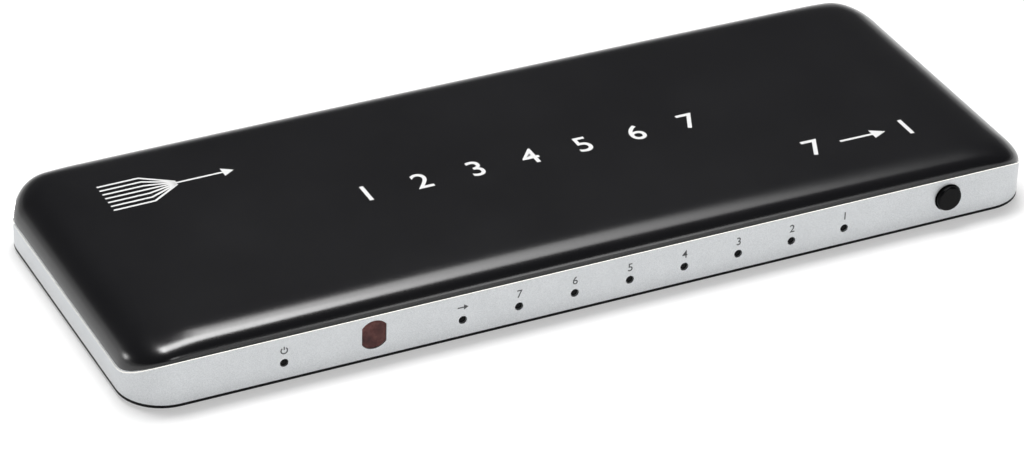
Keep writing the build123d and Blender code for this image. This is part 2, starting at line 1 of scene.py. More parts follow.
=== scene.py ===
# %% [markdown]
# # A slim video switch box
# The box is a flat case in three shells: a domed black cover, a silver band with the
# openings for sockets, lamps and button in it, and a thin black base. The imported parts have
# the right sizes and joints. This lesson gives each one the finish of the real thing, draws
# the cover again with a softer rounding, adds the bright edge and the small printed marks,
# and lights the box as a product photographer would. Everything is in metres.

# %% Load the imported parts
import json
import math
import bmesh
import bpy
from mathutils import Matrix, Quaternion, Vector
from mathutils.bvhtree import BVHTree


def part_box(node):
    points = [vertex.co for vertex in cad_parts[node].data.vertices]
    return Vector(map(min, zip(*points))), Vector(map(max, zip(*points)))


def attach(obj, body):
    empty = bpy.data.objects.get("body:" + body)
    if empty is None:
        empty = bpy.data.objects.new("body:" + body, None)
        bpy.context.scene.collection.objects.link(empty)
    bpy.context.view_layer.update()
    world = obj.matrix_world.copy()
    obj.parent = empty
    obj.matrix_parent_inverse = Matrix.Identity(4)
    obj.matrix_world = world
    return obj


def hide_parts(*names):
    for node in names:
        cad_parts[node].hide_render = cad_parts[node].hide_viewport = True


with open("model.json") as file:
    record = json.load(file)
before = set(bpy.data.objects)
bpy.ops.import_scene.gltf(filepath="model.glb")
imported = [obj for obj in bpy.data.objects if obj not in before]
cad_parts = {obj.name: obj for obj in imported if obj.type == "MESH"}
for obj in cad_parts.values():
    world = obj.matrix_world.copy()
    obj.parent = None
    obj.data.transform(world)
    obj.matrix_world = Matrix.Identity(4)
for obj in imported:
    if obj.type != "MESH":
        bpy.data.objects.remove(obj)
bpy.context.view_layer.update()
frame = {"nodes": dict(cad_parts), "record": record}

nodes = frame["nodes"]
slot_of = {part["node"]: part["material_slot"] for part in frame["record"]["subparts"]}
mm = 0.001

# %% [markdown]
# ## Shader sums as plain expressions
# A finish is a small calculation: this colour plus that much grain, rougher where it is
# worn. Wiring Math nodes by hand hides the sum. So `Wire` wraps one output of a node and
# answers to `+`, `*` and `>` by adding the Math node for it, and `Paint` is a material with
# one method for every other kind of node.

# %% Wire: one output of a shader node
class Wire:
    """One output of a shader node, used in sums as a number is."""

    def __init__(self, paint, node, output=0):
        self.paint = paint
        self.node = node
        self.socket = node.outputs[output] if node.outputs else None

    def __getitem__(self, output):
        return Wire(self.paint, self.node, output)

    def sum(self, operation, *values):
        return self.paint.node("ShaderNodeMath", {"operation": operation}, dict(enumerate(values)))

    def __add__(self, other):
        return self.sum("ADD", self, other)

    def __mul__(self, other):
        return self.sum("MULTIPLY", self, other)

    def __gt__(self, other):
        return self.sum("GREATER_THAN", self, other)

    __radd__ = __add__
    __rmul__ = __mul__


# %% [markdown]
# ## One method for every other node
# A node needs three things: its type, its settings and what goes into its sockets. The
# settings come first, because some of them change which sockets there are. The named
# helpers below it, such as `noise` and `bump`, are the few nodes that most finishes use.

# %% Paint: a material made of wires
class Paint:
    """A procedural material: nodes are added by one method and end in a principled shader."""

    def __init__(self, name):
        self.material = bpy.data.materials.new(name)
        self.material.use_nodes = True
        self.tree = self.material.node_tree
        self.tree.nodes.clear()
        self.place = self.node("ShaderNodeTexCoord", {}, {})["Object"]

    def node(self, kind, settings, sockets):
        """Any node: its settings are set first, then each socket gets its value or its wire."""
        made = self.tree.nodes.new(kind)
        for key, value in settings.items():
            if key == "stops":
                self.fill_ramp(made.color_ramp, value)
            else:
                setattr(made, key, value)
        for key, value in sockets.items():
            socket = made.inputs[key]
            if isinstance(value, Wire):
                self.tree.links.new(value.socket, socket)
            elif socket.type == "RGBA" and len(value) == 3:
                socket.default_value = (*value, 1)
            else:
                socket.default_value = value
        return Wire(self, made)

    def fill_ramp(self, ramp, stops):
        """Stops are pairs of place and colour, in order along the ramp."""
        while len(ramp.elements) < len(stops):
            ramp.elements.new(0.5)
        for element, (place, colour) in zip(ramp.elements, stops):
            element.position = place
            element.color = (*colour, 1)

    def noise(self, size, detail=2.0, place=None):
        """Soft noise from 0 to 1 with lumps of about that size."""
        spot = self.place if place is None else place
        return self.node("ShaderNodeTexNoise", {}, {"Vector": spot, "Scale": 1 / size, "Detail": detail})

    def flakes(self, size):
        """One random value from 0 to 1 for each small cell, as in metallic paint."""
        cell = self.node("ShaderNodeTexVoronoi", {}, {"Vector": self.place, "Scale": 1 / size})
        return self.node("ShaderNodeSeparateColor", {}, {"Color": cell["Color"]})

    def mix(self, share, low, high):
        """A colour that goes from low to high as share goes from 0 to 1."""
        return self.node("ShaderNodeMix", {"data_type": "RGBA"}, {0: share, 6: low, 7: high})[2]

    def bump(self, height, depth):
        """Relief: height from 0 to 1 stands for that many metres."""
        return self.node("ShaderNodeBump", {}, {"Height": height, "Strength": 1.0, "Distance": depth})

    def done(self, **sockets):
        """Ends the material in a principled shader; socket names have _ for each space."""
        named = {key.replace("_", " "): value for key, value in sockets.items()}
        shader = self.node("ShaderNodeBsdfPrincipled", {}, named)
        self.node("ShaderNodeOutputMaterial", {}, {"Surface": shader})
        return self.material


# %% [markdown]
# ## Black cover plastic
# The cover is injection moulded in black ABS and comes out of a polished mould, so it is
# deep black with a soft, even gloss. A perfectly even gloss looks like computer glass. Real
# mouldings have a faint waviness, and handling leaves the roughness a little patchy. Both
# are noise: one broad for the gloss, one fine for the surface.

# %% Cover plastic
def cover_plastic():
    paint = Paint("cover_black")
    patches = paint.noise(28 * mm, 3.0)
    grain = paint.noise(0.5 * mm, 2.0)
    colour = paint.mix(patches, (0.0034, 0.0034, 0.0044), (0.0054, 0.0054, 0.0067))
    return paint.done(Base_Color=colour, Roughness=patches * 0.07 + grain * 0.05 + 0.15, IOR=1.58,
                      Normal=paint.bump(grain, 0.0012 * mm))


# %% [markdown]
# ## Silver paint
# The band is sprayed with a silver lacquer. Tiny aluminium flakes lie in it at slightly
# different angles, which makes it sparkle in grains rather than shine as one sheet. A cell
# pattern gives each flake its own brightness and roughness.

# %% Silver paint
def silver_paint():
    paint = Paint("band_silver")
    flake = paint.flakes(0.12 * mm)
    cloud = paint.noise(6 * mm, 2.0)
    shade = flake["Red"] * 0.55 + flake["Green"] * 0.2 + cloud * 0.25
    colour = paint.mix(shade, (0.59, 0.61, 0.625), (0.87, 0.89, 0.905))
    return paint.done(Base_Color=colour, Metallic=0.55, Roughness=flake["Blue"] * 0.12 + 0.34,
                      Normal=paint.bump(flake["Red"], 0.004 * mm))


# %% [markdown]
# ## Textured plastics and rubber
# The base is moulded in a spark-eroded tool, which leaves a fine matt texture. The feet are
# die-cut rubber, duller still. Insulators in the sockets are glass-filled and show faint
# flow marks. All are one function, because they differ only in their numbers.

# %% Matt mouldings
cloud_to_grain = 25


def moulding(name, low, high, roughness, grain_size, depth, gloss=0.3):
    paint = Paint(name)
    grain = paint.noise(grain_size, 3.0)
    cloud = paint.noise(grain_size * cloud_to_grain, 2.0)
    colour = paint.mix(cloud * 0.5 + grain * 0.5, low, high)
    return paint.done(Base_Color=colour, Roughness=grain * 0.15 + roughness, Specular_IOR_Level=gloss,
                      Normal=paint.bump(grain, depth))


# %% [markdown]
# ## Bare and plated metals
# Plated sheet is never one even colour: the plating is thicker here and thinner there, and
# rolling leaves fine lines along the strip. The noise is stretched along one axis to draw
# those lines.

# %% Plated metal
rolling_stretch = (1.0, 0.12, 1.0)


def plated(name, low, high, roughness, grain_size=0.25 * mm):
    paint = Paint(name)
    stretched = paint.node("ShaderNodeVectorMath", {"operation": "MULTIPLY"},
                           {0: paint.place, 1: rolling_stretch})
    lines = paint.noise(grain_size, 2.0, stretched)
    cloud = paint.noise(2.5 * mm, 2.0)
    colour = paint.mix(cloud * 0.7 + lines * 0.3, low, high)
    return paint.done(Base_Color=colour, Metallic=1.0, Roughness=lines * 0.14 + cloud * 0.08 + roughness,
                      Normal=paint.bump(lines, 0.002 * mm))


# %% [markdown]
# ## The dark red window and the glossy button
# The window is tinted plastic that looks nearly black and lets only infrared through. The
# receiver and the board behind it give it a mottled, brownish depth. The button is polished
# black. The indicator lenses are smoked.

# %% Window, button and lenses
window_stops = ((0.28, (0.045, 0.010, 0.010)),
                (0.50, (0.105, 0.028, 0.025)),
                (0.74, (0.210, 0.075, 0.062)))


def window_plastic():
    paint = Paint("window_red")
    depth = paint.noise(1.6 * mm, 3.0)
    colour = paint.node("ShaderNodeValToRGB", {"stops": window_stops}, {"Fac": depth})
    return paint.done(Base_Color=colour, Roughness=depth * 0.10 + 0.12, Specular_IOR_Level=0.22)


def polished(name, low, high, roughness, gloss=0.3):
    paint = Paint(name)
    cloud = paint.noise(2.0 * mm, 2.0)
    return paint.done(Base_Color=paint.mix(cloud, low, high), Roughness=cloud * 0.05 + roughness,
                      Specular_IOR_Level=gloss)


# %% [markdown]
# ## The green board
# Most of the board is hidden, but the sockets and the vents let some of it be seen. Solder
# mask is a clear green lacquer over copper: where a track runs below it, the green is
# lighter. Wave bands above a threshold stand for the tracks, and noise leaves gaps in them.

# %% Board lacquer
track_scale = 160.0
track_bend = 1.5
between_tracks = 0.55
bare_board = 0.5


def board_lacquer():
    paint = Paint("board_green")
    wander = paint.noise(9 * mm, 1.0)
    rows = paint.node("ShaderNodeTexWave", {"bands_direction": "DIAGONAL"},
                      {"Vector": paint.place, "Scale": track_scale, "Distortion": track_bend, "Detail": 0.0})
    tracks = (rows["Fac"] > between_tracks) * (wander > bare_board)
    colour = paint.mix(tracks, (0.012, 0.105, 0.045), (0.030, 0.190, 0.080))
    return paint.done(Base_Color=colour, Roughness=wander * 0.1 + 0.25,
                      Normal=paint.bump(tracks, 0.03 * mm))


# %% [markdown]
# ## Every part gets its finish
# The record says which material each part is made of. So the finishes stand in one table
# under the same words, and a loop hands them out: a part that is added later gets its
# finish without a new line here. Two colours are the ends that the grain goes between.
# Weighted normals keep the flat faces of the moulded shells flat beside their roundings.

# %% Give every part its finish
black = ((0.010, 0.010, 0.011), (0.020, 0.020, 0.021))
finishes = {
    "cover_black": cover_plastic(),
    "band_silver": silver_paint(),
    "base_black": moulding("base_black", (0.004, 0.004, 0.005), (0.009, 0.009, 0.010), 0.5,
                           0.35 * mm, 0.02 * mm, 0.12),
    "rubber": moulding("rubber", (0.016, 0.016, 0.016), (0.030, 0.030, 0.029), 0.75, 0.5 * mm, 0.03 * mm),
    "screw_black": plated("screw_black", (0.020, 0.020, 0.022), (0.055, 0.055, 0.060), 0.30),
    "screw_zinc": plated("screw_zinc", (0.50, 0.50, 0.48), (0.66, 0.66, 0.68), 0.26),
    "board_green": board_lacquer(),
    "contact_gold": plated("contact_gold", (0.72, 0.48, 0.16), (0.90, 0.66, 0.30), 0.18, 0.1 * mm),
    "contact_tin": plated("contact_tin", (0.52, 0.52, 0.51), (0.70, 0.70, 0.70), 0.24, 0.12 * mm),
    "shell_gold": plated("shell_gold", (0.46, 0.36, 0.18), (0.70, 0.58, 0.34), 0.22),
    "insulator_black": moulding("insulator_black", *black, 0.38, 0.25 * mm, 0.01 * mm),
    "button_black": polished("button_black", (0.002, 0.002, 0.0025), (0.004, 0.004, 0.0045), 0.12, 0.10),
    "window_red": window_plastic(),
    "lens_dark": polished("lens_dark", (0.002, 0.002, 0.0025), (0.004, 0.004, 0.005), 0.12, 0.08),
    "lamp_white": moulding("lamp_white", (0.60, 0.60, 0.52), (0.74, 0.74, 0.68), 0.35, 0.4 * mm, 0.01 * mm),
    "chip_black": moulding("chip_black", *black, 0.55, 0.15 * mm, 0.01 * mm),
    "pad_grey": moulding("pad_grey", (0.22, 0.25, 0.30), (0.34, 0.38, 0.44), 0.8, 0.4 * mm, 0.02 * mm),
    "sink_aluminium": plated("sink_aluminium", (0.58, 0.58, 0.60), (0.74, 0.74, 0.76), 0.32),
    "ferrite_grey": moulding("ferrite_grey", (0.06, 0.06, 0.06), (0.11, 0.11, 0.11), 0.6,
                             0.3 * mm, 0.02 * mm),
    "ceramic_tan": moulding("ceramic_tan", (0.34, 0.24, 0.14), (0.50, 0.38, 0.24), 0.4,
                            0.2 * mm, 0.01 * mm),
}
for name, node in nodes.items():
    for slot in node.material_slots:
        slot.material = finishes[slot_of[name]]
for name in ("side_band", "base_cover"):
    nodes[name].modifiers.new("flat_faces_first", "WEIGHTED_NORMAL").keep_sharp = True
print("finishes", len(finishes))

# %% [markdown]
# ## The moulded cover
# The cover's rounding is what the eye reads first, because the lamp's streak runs along it.
# A plain fillet has a sudden change of curvature, and a streak shows that as a hard edge.
# Real mouldings roll off gradually. So the cover is drawn again as rings: each ring is the
# rounded outline pulled in towards a line along the middle, and its height comes from one
# formula, a crown that a superellipse rolls down to the rim. It stands in the same place
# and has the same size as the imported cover, which it replaces.

# %% Sizes of the cover
cover_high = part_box("top_cover")[1]
band_low, band_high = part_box("side_band")
middle_y = (band_low.y + band_high.y) / 2
rim_inset = 0.22 * mm
half_x = (band_high.x - band_low.x) / 2 - rim_inset
half_y = (band_high.y - band_low.y) / 2 - rim_inset
round_radius = 10.7 * mm - rim_inset
rim_gap = 0.20 * mm
rim_front = band_high.z + rim_gap
rim_end = 7.5 * mm + rim_gap
crown_drop = 0.45 * mm
end_drop = 2.6 * mm
end_run = 18.0 * mm
roll_width = 8.0 * mm
roll_power = 2.4
wall = 1.8 * mm
ink_room = 0.03 * mm
crown_top = cover_high.z - ink_room
print("cover", round(2 * half_x / mm, 2), "by", round(2 * half_y / mm, 2), "mm")

# %% [markdown]
# ## Heights over the cover
# Two heights meet at every place: the crown's, which is nearly flat and falls off towards
# the ends, and the rim's, which follows the band. How far the place is from the outline
# says how much of each it gets.

# %% Heights over the cover
def crown_height(x):
    shoulder = half_x - end_run
    beyond = max(0.0, abs(x) - shoulder)
    sag = crown_drop * min(1.0, abs(x) / shoulder) ** 2
    return crown_top - sag - end_drop * (beyond / end_run) ** 2


def rim_height(x):
    """Level along the front, and falling in an arc through each round corner."""
    beyond = max(0.0, abs(x) - (half_x - round_radius))
    drop = rim_front - rim_end
    bend = (round_radius ** 2 + drop ** 2) / (2 * drop)
    return rim_front - bend + math.sqrt(max(0.0, bend ** 2 - beyond ** 2))


def nearest_edge(x, y):
    """Distance to the rounded outline, and the x of its nearest point."""
    over_x, over_y = abs(x) - (half_x - round_radius), abs(y) - (half_y - round_radius)
    if over_x > 0 and over_y > 0:
        away = math.hypot(over_x, over_y)
        return round_radius - away, half_x - round_radius + round_radius * over_x / away
    if over_x > over_y:
        return round_radius - over_x, half_x
    return round_radius - over_y, abs(x)


def cover_height(x, y):
    inset, edge_x = nearest_edge(x, y)
    rise = min(1.0, max(0.0, 1 - inset / roll_width))
    rim = rim_height(edge_x)
    return rim + (crown_height(x) - rim) * math.sqrt(max(0.0, 1 - rise ** roll_power))


# %% [markdown]
# ## Rings from the rim to the middle
# A ring is the outline pulled in. The rings lie close together at the rim, where the
# surface turns fast, and far apart on the flat crown. The inner surface is the same form
# one wall thickness lower, and one more strip of faces closes the shell at the rim.

# %% Outline and rings
long_steps, short_steps, corner_steps = 72, 24, 16
outer_insets = (0.0, 0.03, 0.1, 0.22, 0.4, 0.65, 1.0, 1.4, 1.9, 2.5, 3.2, 4.0, 4.9, 5.9, 7.0,
                8.0, 9.5, 12.0, 16.0, 22.0, 30.0)
inner_insets = (2.6, 4.0, 6.0, 9.0, 16.0, 30.0)
weld = 0.002 * mm
shortest_edge = 0.001 * mm
sharp_angle = math.radians(50)


def cover_outline():
    """Points round the outline, counter-clockwise: each corner, then the side after it."""
    flat_x, flat_y = half_x - round_radius, half_y - round_radius
    corners = ((1, -1, -90, 0, 2, short_steps), (1, 1, 0, -2, 0, long_steps),
               (-1, 1, 90, 0, -2, short_steps), (-1, -1, 180, 2, 0, long_steps))
    points = []
    for sign_x, sign_y, start, run_x, run_y, count in corners:
        for i in range(corner_steps + 1):
            turned = math.radians(start + 90 * i / corner_steps)
            points.append((sign_x * flat_x + round_radius * math.cos(turned),
                           sign_y * flat_y + round_radius * math.sin(turned)))
        x, y = points[-1]
        points += [(x + run_x * flat_x * i / count, y + run_y * flat_y * i / count)
                   for i in range(1, count)]
    return points


def cover_rings(form, insets, lowered):
    """A list of corners for each inset, down by that much; the first ring has the rim's height."""
    spine_end = half_x - half_y
    rings = []
    for inset in insets:
        share = inset / half_y
        ring = []
        for x, y in cover_outline():
            spine = max(-spine_end, min(spine_end, x))
            px, py = x + (spine - x) * share, y - y * share
            height = cover_height(px, py) - lowered
            if inset == insets[0]:
                height = rim_height(nearest_edge(x, y)[1])
            ring.append(form.verts.new((px, py + middle_y, height)))
        rings.append(ring)
    return rings


# %% [markdown]
# ## The closed cover
# Faces join each ring to the next. On the line along the middle many corners fall on the
# same place, so near corners are welded and edges without length are dissolved. The shell
# is shaded smooth, apart from the turn at the rim.

# %% The closed cover
def made_object(name, form, finish):
    """Turns a bmesh into a named object with one finish."""
    mesh = bpy.data.meshes.new(name)
    form.to_mesh(mesh)
    form.free()
    mesh.materials.append(finish)
    thing = bpy.data.objects.new(name, mesh)
    bpy.context.scene.collection.objects.link(thing)
    return thing


def moulded_cover():
    form = bmesh.new()
    outer = cover_rings(form, [inset * mm for inset in outer_insets] + [half_y], 0)
    inner = cover_rings(form, [wall] + [inset * mm for inset in inner_insets] + [half_y], wall)
    for rings, flip in ((outer, False), (inner, True), ([inner[0], outer[0]], False)):
        for ring, further in zip(rings, rings[1:]):
            for i, corner in enumerate(ring):
                j = (i + 1) % len(ring)
                face = (corner, ring[j], further[j], further[i])
                form.faces.new(tuple(reversed(face)) if flip else face)
    bmesh.ops.remove_doubles(form, verts=form.verts, dist=weld)
    bmesh.ops.dissolve_degenerate(form, edges=form.edges, dist=shortest_edge)
    bmesh.ops.recalc_face_normals(form, faces=form.faces)
    for face in form.faces:
        face.smooth = True
    shell = made_object("cover_shell", form, finishes["cover_black"])
    shell.data.set_sharp_from_angle(angle=sharp_angle)
    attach(shell, "case")
    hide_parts("top_cover")
    print("cover_shell", len(shell.data.polygons), "faces")
    return shell


cover_shell = moulded_cover()

# %% [markdown]
# ## The bright edge of the band
# A thin bright line runs all round the real box, just under the black cover. It is the upper
# edge of the band, where the paint ends and the metal is polished: it mirrors the white
# table. It could be painted on as a stripe, but a stripe has no edge to catch the light. So
# it is one closed ring that fills the band's small chamfer up to a sharp corner. Its outer
# side is upright, and its top lies in the shadow of the cover and draws the dark line.

# %% The band's edge
edge_width = 0.30 * mm
edge_back = 0.006 * mm
edge_lift = 0.010 * mm
edge_sunk = 0.15 * mm


def edge_paint():
    paint = Paint("band_edge")
    worn = paint.noise(3 * mm, 3.0)
    colour = paint.mix(worn, (0.94, 0.93, 0.88), (0.99, 0.98, 0.94))
    return paint.done(Base_Color=colour, Metallic=1.0, Roughness=worn * 0.08 + 0.12)


def band_edge():
    """A ring with four corners in its section: three on or above the chamfer, one sunk below."""
    ring = bmesh.new()
    rows = []
    up = Vector((0, 0, 1))
    for x, y in cover_outline():
        edge_x = nearest_edge(x, y)[1]
        over_x = max(0, abs(x) - (half_x - round_radius))
        over_y = max(0, abs(y) - (half_y - round_radius))
        out = Vector((math.copysign(over_x, x), math.copysign(over_y, y), 0)).normalized()
        base = Vector((x, y + middle_y, rim_height(edge_x) - rim_gap)) + out * rim_inset
        corners = (base - up * edge_width - out * edge_back, base + up * edge_lift - out * edge_back,
                   base - out * (edge_width + edge_lift) + up * edge_lift,
                   base - out * (edge_width + edge_lift) - up * edge_sunk)
        rows.append([ring.verts.new(corner) for corner in corners])
    for row, following in zip(rows, rows[1:] + rows[:1]):
        for k in range(4):
            ring.faces.new((row[k], following[k], following[(k + 1) % 4], row[(k + 1) % 4]))
    bmesh.ops.recalc_face_normals(ring, faces=ring.faces)
    piece = made_object("band_edge", ring, edge_paint())
    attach(piece, "case")
    print("band_edge", len(piece.data.polygons), "faces")


band_edge()

# %% [markdown]
# ## Printed marks
# Switch boxes carry small screen-printed marks: a number for each input, an arrow for the
# output, a power sign. Screen ink is a real layer, a few hundredths of a millimetre thick,
# so each mark is a closed solid as thin as ink that follows the surface below it. A flat
# drawing is made first. Then every corner of it is dropped onto the shell by ray casting,
# and a copy is sunk just below the surface to close it.

# %% Flat drawings: ribbons and patches
ink_step = 1.2 * mm
sharpest_turn = 0.35


def ribbon(points, width):
    """A line of even width through points, as a flat mesh of short quads."""
    path = []
    for start, end in zip(points, points[1:]):
        start, end = Vector(start), Vector(end)
        count = max(1, math.ceil((end - start).length / ink_step))
        path += [start.lerp(end, i / count) for i in range(count)]
    path.append(Vector(points[-1]))
    ways = [(end - start).normalized() for start, end in zip(path, path[1:])]
    flat = bmesh.new()
    rails = []
    for i, spot in enumerate(path):
        way_in, way_out = ways[max(i - 1, 0)], ways[min(i, len(ways) - 1)]
        side = Vector((-way_in.y - way_out.y, way_in.x + way_out.x)).normalized()
        reach = width / 2 / max(sharpest_turn, side.dot(Vector((-way_out.y, way_out.x))))
        rails.append([flat.verts.new((*(spot + side * reach * s), 0)) for s in (-1, 1)])
    for (a, b), (c, d) in zip(rails, rails[1:]):
        flat.faces.new((a, c, d, b))
    return flat


def arc(x, y, radius, start, end, count=28):
    """Points round part of a circle; the angles are in degrees."""
    angles = [math.radians(start + (end - start) * i / count) for i in range(count + 1)]
    return [(x + radius * math.cos(a), y + radius * math.sin(a)) for a in angles]


def patch(points):
    """A filled outline."""
    flat = bmesh.new()
    flat.faces.new([flat.verts.new((*point, 0)) for point in points])
    return flat


# %% [markdown]
# ## Figures
# Numbers are easier to take from Blender's own plain font than to draw. The text object is
# turned into a mesh, scaled to the wanted height and thrown away. The curve's offset makes
# the strokes a little bolder, like the screen print on the real box.

# %% Figures
figure_weight = 0.006
figure_weld = 0.001 * mm


def figures(text, x, y, height):
    """Plain figures, centred on a place."""
    curve = bpy.data.curves.new("figures", "FONT")
    curve.body = text
    curve.align_x = "CENTER"
    curve.offset = figure_weight
    holder = bpy.data.objects.new("figures", curve)
    bpy.context.scene.collection.objects.link(holder)
    drawn = bpy.data.meshes.new_from_object(holder.evaluated_get(bpy.context.evaluated_depsgraph_get()))
    flat = bmesh.new()
    flat.from_mesh(drawn)
    tall = max(v.co.y for v in flat.verts)
    for vert in flat.verts:
        vert.co = (x + vert.co.x * height / tall, y + vert.co.y * height / tall - height / 2, 0)
    bmesh.ops.remove_doubles(flat, verts=flat.verts, dist=figure_weld)
    bpy.data.objects.remove(holder)
    bpy.data.curves.remove(curve)
    bpy.data.meshes.remove(drawn)
    return flat


# %% [markdown]
# ## Ink that follows the surface
# A mark on a domed cover can't be a flat plate. A shell keeps a part's faces in a search
# tree and the two directions of its drawing. Each corner of a drawing is dropped on it
# along the line of sight, so the ink bends with the surface and is equally thick all over.

# %% Ink: a flat drawing dropped onto a shell
ink_proud = 0.02 * mm
ink_sunk = 0.012 * mm
drop_from = 0.2


class Shell:
    """The outside of one part, seen from one side, that ink is dropped on."""

    def __init__(self, piece, look, across, up):
        self.tree = BVHTree.FromObject(piece, bpy.context.evaluated_depsgraph_get())
        self.look = Vector(look)
        self.across = Vector(across)
        self.up = Vector(up)

    def drop(self, x, y):
        start = self.across * x + self.up * y - self.look * drop_from
        point, normal = self.tree.ray_cast(start, self.look)[:2]
        if point is None:
            raise ValueError(f"no surface under {x / mm:.1f}, {y / mm:.1f}")
        return point, normal


def ink(name, shell, drawings, finish):
    """Joins flat drawings into one thin closed solid on the shell."""
    solid = bmesh.new()
    for flat in drawings:
        tops, bottoms = {}, {}
        for vert in flat.verts:
            point, normal = shell.drop(vert.co.x, vert.co.y)
            tops[vert] = solid.verts.new(point + normal * ink_proud)
            bottoms[vert] = solid.verts.new(point - normal * ink_sunk)
        for face in flat.faces:
            solid.faces.new([tops[v] for v in face.verts])
            solid.faces.new([bottoms[v] for v in reversed(face.verts)])
        for edge in flat.edges:
            if edge.is_boundary:
                a, b = edge.verts
                solid.faces.new((tops[a], tops[b], bottoms[b], bottoms[a]))
        flat.free()
    bmesh.ops.recalc_face_normals(solid, faces=solid.faces)
    mark = made_object(name, solid, finish)
    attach(mark, "case")
    print(name, len(mark.data.polygons), "faces")


def ink_finish(name, colour, thin=0.9):
    """Printed ink: where the layer is thin, it is a little darker."""
    paint = Paint(name)
    grain = paint.noise(0.15 * mm, 2.0)
    low = tuple(channel * thin for channel in colour)
    return paint.done(Base_Color=paint.mix(grain, low, colour), Roughness=grain * 0.1 + 0.4)


# %% [markdown]
# ## Marks on the cover
# The cover has three places for print. The left one shows what the box does, seven lines
# that meet in one. The middle one has the input numbers. The right one says seven into one.

# %% Cover marks
cover_top = Shell(cover_shell, (0, 0, -1), (1, 0, 0), (0, 1, 0))
white_ink = ink_finish("white_ink", (0.80, 0.80, 0.80))
grey_ink = ink_finish("grey_ink", (0.085, 0.088, 0.092))
input_count = 7
mark_left, mark_right = -94.0 * mm, -63.0 * mm
mark_low, mark_high = 16.4 * mm, 27.0 * mm
mark_line = 0.55 * mm
bend_share, join_share, pinch, tip_share, tip_length = 0.32, 0.55, 0.12, 0.16, 1.6
number_middle_x, number_y = 1.1 * mm, 0.2 * mm
number_pitch, number_tall = 13.6 * mm, 6.2 * mm
ratio_y, ratio_tall, ratio_line = -21.8 * mm, 6.4 * mm, 0.7 * mm
ratio_from_x, ratio_to_x = 63.0 * mm, 87.5 * mm
shaft_from_x, shaft_to_x, arrow_tip_x, arrow_half = 70.0 * mm, 78.5 * mm, 82.0 * mm, 1.8 * mm


def seven_into_one(left, right, low, high, width):
    """Seven lines that bend into one, which ends in an arrow."""
    middle = (low + high) / 2
    bend = left + (right - left) * bend_share
    join = left + (right - left) * join_share
    tip = (high - low) * tip_share
    neck = right - tip * tip_length
    drawings = []
    for i in range(input_count):
        y = low + (high - low) * i / (input_count - 1)
        if abs(y - middle) > width:
            drawings.append(ribbon([(left, y), (bend, y), (join, middle + (y - middle) * pinch)], width))
    drawings.append(ribbon([(left, middle), (neck, middle)], width))
    drawings.append(patch([(neck, middle - tip), (right, middle), (neck, middle + tip)]))
    return drawings


ink("cover_input_mark", cover_top,
    seven_into_one(mark_left, mark_right, mark_low, mark_high, mark_line), white_ink)
ink("cover_numbers", cover_top,
    [figures(str(i + 1), number_middle_x + (i - input_count // 2) * number_pitch, number_y, number_tall)
     for i in range(input_count)], white_ink)
ink("cover_ratio_mark", cover_top, [
    figures("7", ratio_from_x, ratio_y, ratio_tall),
    ribbon([(shaft_from_x, ratio_y), (shaft_to_x, ratio_y)], ratio_line),
    patch([(shaft_to_x, ratio_y - arrow_half), (arrow_tip_x, ratio_y), (shaft_to_x, ratio_y + arrow_half)]),
    figures("1", ratio_to_x, ratio_y, ratio_tall)], white_ink)

# %% [markdown]
# ## Marks on the front of the band
# Each indicator has its number above it, the power indicator a power sign and the output an
# arrow. They are printed in grey and are about two millimetres tall. The numbers come from
# the font, and the two signs are drawn with ribbons as thin as its strokes.

# %% Front marks
front_face = Shell(nodes["side_band"], (0, 1, 0), (1, 0, 0), (0, 0, 1))
rear_face = Shell(nodes["side_band"], (0, -1, 0), (-1, 0, 0), (0, 0, 1))
first_indicator_x, indicator_pitch = 60.95 * mm, 13.7 * mm
indicator_x = [first_indicator_x - indicator_pitch * i for i in range(input_count + 1)]
power_x = -77.4 * mm
front_mark_z = 9.0 * mm
power_mark_z = front_mark_z - 0.15 * mm
mark_tall = 1.95 * mm
thin_line = 0.30 * mm
arrow_long = 2.6 * mm
head_share, head_slope = 0.42, 0.62
sign_radius = 0.75 * mm
gap_from, gap_to = 125, 415
bar_low, bar_high = 0.25, 1.35


def power_sign(x, z, radius, width):
    return [ribbon(arc(x, z, radius, gap_from, gap_to), width),
            ribbon([(x, z + radius * bar_low), (x, z + radius * bar_high)], width)]


def arrow(x, z, length, width):
    head = length * head_share
    half, tip = head * head_slope, x + length / 2
    return [ribbon([(x - length / 2, z), (tip - head, z)], width),
            patch([(tip - head, z - half), (tip, z), (tip - head, z + half)])]


front_drawings = [figures(str(i + 1), indicator_x[i], front_mark_z, mark_tall) for i in range(input_count)]
front_drawings += arrow(indicator_x[input_count], front_mark_z, arrow_long, thin_line)
front_drawings += power_sign(power_x, power_mark_z, sign_radius, thin_line)
ink("front_marks", front_face, front_drawings, grey_ink)

# %% [markdown]
# ## Marks on the rear of the band
# The sockets are numbered below, the output has an arrow, and the inlet has the polarity
# sign that such inlets carry: a dot in a broken ring, for the pin in its sleeve.
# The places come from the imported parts, so the marks follow when a socket moves.

